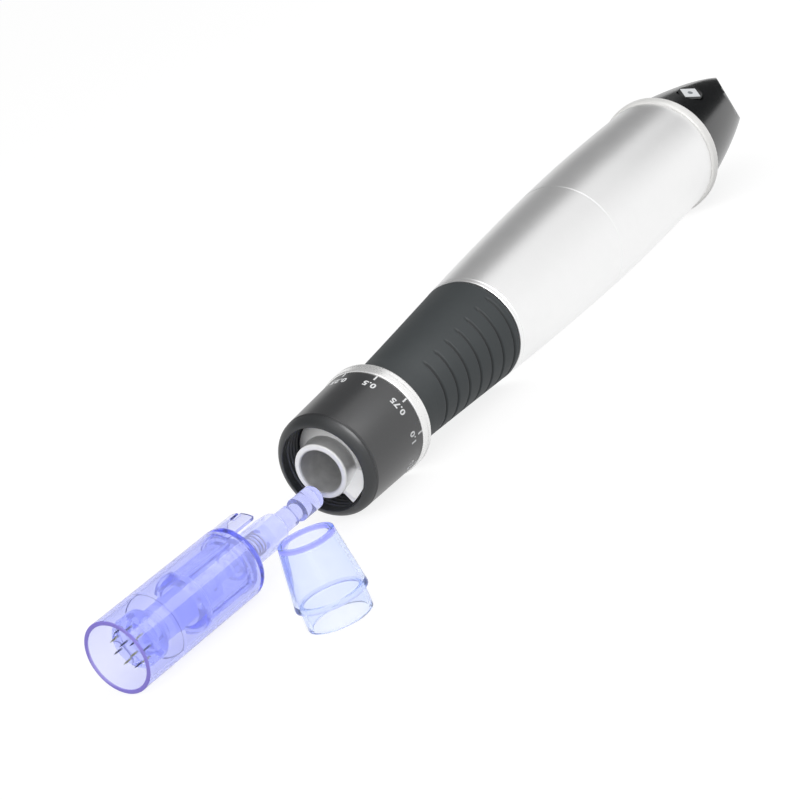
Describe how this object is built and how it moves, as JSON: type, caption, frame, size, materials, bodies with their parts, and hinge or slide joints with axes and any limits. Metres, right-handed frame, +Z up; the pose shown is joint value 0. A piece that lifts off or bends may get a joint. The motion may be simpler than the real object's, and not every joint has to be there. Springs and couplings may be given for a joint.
{
  "type": "microneedling pen",
  "caption": "Microneedling pen with a turning depth dial, rubber grip and aluminium barrel, its needle cartridge pulled off and the cartridge's cap beside it.",
  "frame": {"origin": "centre of the underside of the bounding box, on the table", "axes": "+X from the cartridge to the pen's tail along the table, +Z up, -Y towards the cap"},
  "size_m": [0.228, 0.042, 0.0258],
  "materials": {
    "black_anodised": "black anodised aluminium, satin",
    "black_gloss": "moulded gloss black",
    "black_plastic": "moulded matt black",
    "grip_rubber": "dark slate rubber, moulded",
    "satin_aluminium": "turned and satin anodised",
    "bright_aluminium": "turned and polished",
    "brushed_steel": "plain steel",
    "spring_steel": "spring wire",
    "brass": "turned bush",
    "soft_rubber": "soft black rubber",
    "magnet_grey": "sintered magnet",
    "copper": "copper windings on a laminated core",
    "board_green": "glass fibre board with green lacquer",
    "white_plastic": "moulded white",
    "blue_clear": "clear blue moulding",
    "violet_clear": "clear violet moulding",
    "pale_clear": "clear pale blue moulding"
  },
  "bodies": {
    "pen": {"index_collar": "bright_aluminium", "grip_core": "black_plastic", "grip_sleeve": "grip_rubber", "ring_clip": "brushed_steel", "nozzle_seal": "soft_rubber", "key_pin_near": "brushed_steel", "key_pin_far": "brushed_steel", "rod_guide_bush": "brass", "front_barrel": "satin_aluminium", "rear_barrel": "satin_aluminium", "tail_rim": "bright_aluminium", "tail_cap": "black_gloss", "dc_inlet": "black_plastic", "button_switch": "black_plastic", "circuit_board": "board_green", "board_carrier": "black_plastic", "motor_mount": "black_plastic", "mount_screw_near": "brushed_steel", "mount_screw_far": "brushed_steel", "motor_can": "brushed_steel", "motor_end_bell": "black_plastic", "motor_magnet_upper": "magnet_grey", "motor_magnet_lower": "magnet_grey", "motor_cushion": "soft_rubber"},
    "dial": {"depth_ring": "black_anodised"},
    "nozzle": {"nozzle": "bright_aluminium"},
    "rotor": {"motor_shaft": "brushed_steel", "motor_armature": "copper", "oblique_cam": "white_plastic", "cam_grub_screw": "brushed_steel"},
    "drive": {"drive_rod": "brushed_steel", "rod_tip": "white_plastic", "rod_foot": "white_plastic", "rod_spring": "spring_steel"},
    "button": {"power_button": "white_plastic"},
    "cartridge": {"cartridge_shell": "blue_clear", "cartridge_guide": "violet_clear", "cartridge_spring": "spring_steel"},
    "needles": {"needle_carrier": "violet_clear", "needle_head": "violet_clear"},
    "cap": {"protective_cap": "pale_clear"}
  },
  "joints": [
    {"name": "depth_ring_turn", "type": "hinge", "parent": "pen", "child": "dial", "pos_m": [-0.0583, 0.0084, 0.00988], "axis": [-0.9997, 0, -0.0247], "range_deg": [0, 324]},
    {"name": "nozzle_slide", "type": "slide", "parent": "pen", "child": "nozzle", "axis": [0.9997, 0, 0.0247], "range_m": [0, 0.00225]},
    {"name": "motor_turn", "type": "hinge", "parent": "pen", "child": "rotor", "pos_m": [0.00168, 0.0084, 0.01136], "axis": [0.9997, 0, 0.0247], "continuous": true},
    {"name": "rod_slide", "type": "slide", "parent": "pen", "child": "drive", "axis": [-0.9997, 0, -0.0247], "range_m": [0, 0.0025], "stiffness_N_per_m": 200, "deforming": ["rod_spring"]},
    {"name": "button_press", "type": "slide", "parent": "pen", "child": "button", "axis": [0.0205, 0.5592, -0.8288], "range_m": [0, 0.0005], "stiffness_N_per_m": 600},
    {"name": "cartridge_pull", "type": "slide", "parent": "pen", "child": "cartridge", "axis": [-0.9979, 0.0645, 0], "range_m": [0, 0.03]},
    {"name": "needle_slide", "type": "slide", "parent": "cartridge", "child": "needles", "axis": [-0.9979, 0.0645, 0], "range_m": [0, 0.0039], "stiffness_N_per_m": 100, "deforming": ["cartridge_spring"]},
    {"name": "cap_lift", "type": "slide", "parent": "pen", "child": "cap", "axis": [0, 0, 1], "range_m": [0, 0.03]}
  ],
  "couplings": [
    {"joint": "nozzle_slide", "follows": "depth_ring_turn", "m_per_rad": 0.00039789}
  ]
}
